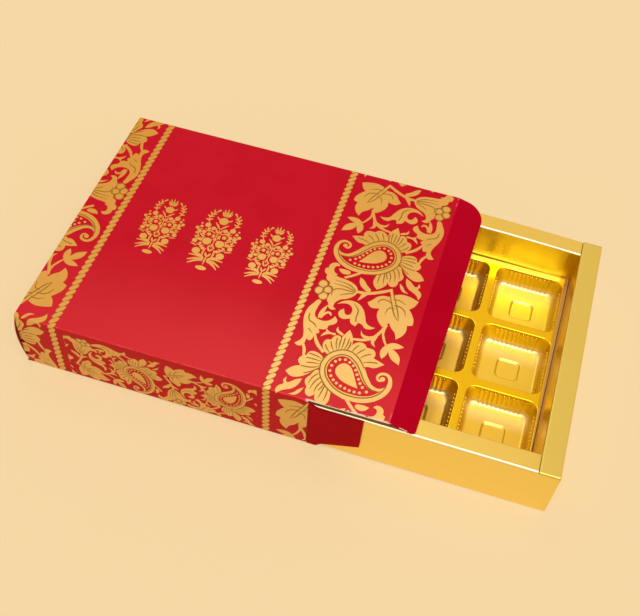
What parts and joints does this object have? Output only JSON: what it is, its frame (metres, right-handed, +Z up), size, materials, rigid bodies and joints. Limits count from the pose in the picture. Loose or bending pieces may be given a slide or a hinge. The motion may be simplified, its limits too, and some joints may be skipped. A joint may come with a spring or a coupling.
{
  "type": "slider chocolate box",
  "caption": "Flat square chocolate box: a printed carton sleeve with tuck-end flaps, and a hollow-walled gold tray with a cavity insert that slides out of it.",
  "frame": {"origin": "centre of the sleeve's underside, on the surface that the box lies on", "axes": "+X the way the tray slides out, +Y towards the back side wall, +Z up through the top panel"},
  "size_m": [0.2326, 0.13, 0.0328],
  "materials": {
    "printed_board": "deep red printed carton board with a soft satin varnish and gold ornament",
    "plain_board": "plain dark red printed carton board",
    "gold_board": "satin gold metallised board",
    "gold_sheet": "bright glossy gold formed plastic sheet"
  },
  "bodies": {
    "sleeve": {"sleeve_shell": "printed_board", "sleeve_seam_flap": "plain_board"},
    "tray": {"tray_floor": "gold_board", "tray_front_wall": "gold_board", "tray_back_wall": "gold_board", "tray_left_wall": "gold_board", "tray_right_wall": "gold_board", "tray_front_left_corner_tab": "gold_board", "tray_front_right_corner_tab": "gold_board", "tray_back_left_corner_tab": "gold_board", "tray_back_right_corner_tab": "gold_board", "insert_tray": "gold_sheet"},
    "right_end_panel": {"right_end_panel": "printed_board"},
    "right_tuck_flap": {"right_tuck_flap": "plain_board"},
    "right_front_dust_flap": {"right_front_dust_flap": "plain_board"},
    "right_back_dust_flap": {"right_back_dust_flap": "plain_board"},
    "left_end_panel": {"left_end_panel": "printed_board"},
    "left_tuck_flap": {"left_tuck_flap": "plain_board"},
    "left_front_dust_flap": {"left_front_dust_flap": "plain_board"},
    "left_back_dust_flap": {"left_back_dust_flap": "plain_board"}
  },
  "joints": [
    {"name": "tray_slide", "type": "slide", "parent": "sleeve", "child": "tray", "axis": [1, 0, -0.0088], "range_m": [-0.1026, 0.025]},
    {"name": "right_end_panel_hinge", "type": "hinge", "parent": "sleeve", "child": "right_end_panel", "pos_m": [0.0641, 0, 0.0328], "axis": [0, -1, 0], "range_deg": [0, 135]},
    {"name": "right_tuck_flap_hinge", "type": "hinge", "parent": "right_end_panel", "child": "right_tuck_flap", "pos_m": [0.0972, 0, 0.0328], "axis": [0, -1, 0], "range_deg": [0, 35]},
    {"name": "right_front_dust_flap_hinge", "type": "hinge", "parent": "sleeve", "child": "right_front_dust_flap", "pos_m": [0.0641, -0.065, 0.0164], "axis": [0, 0, -1], "range_deg": [0, 95]},
    {"name": "right_back_dust_flap_hinge", "type": "hinge", "parent": "sleeve", "child": "right_back_dust_flap", "pos_m": [0.0641, 0.065, 0.0164], "axis": [0, 0, 1], "range_deg": [0, 95]},
    {"name": "left_end_panel_hinge", "type": "hinge", "parent": "sleeve", "child": "left_end_panel", "pos_m": [-0.0641, 0, 0.0328], "axis": [0, 1, 0], "range_deg": [0, 100]},
    {"name": "left_tuck_flap_hinge", "type": "hinge", "parent": "left_end_panel", "child": "left_tuck_flap", "pos_m": [-0.0636, 0, 0.0017], "axis": [0, 1, 0], "range_deg": [-58, 0]},
    {"name": "left_front_dust_flap_hinge", "type": "hinge", "parent": "sleeve", "child": "left_front_dust_flap", "pos_m": [-0.0628, -0.0642, 0.0164], "axis": [0, 0, -1], "range_deg": [0, 80]},
    {"name": "left_back_dust_flap_hinge", "type": "hinge", "parent": "sleeve", "child": "left_back_dust_flap", "pos_m": [-0.0628, 0.0642, 0.0164], "axis": [0, 0, 1], "range_deg": [0, 80]}
  ],
  "couplings": [
    {"joint": "left_tuck_flap_hinge", "follows": "left_end_panel_hinge", "ratio": -0.58}
  ]
}
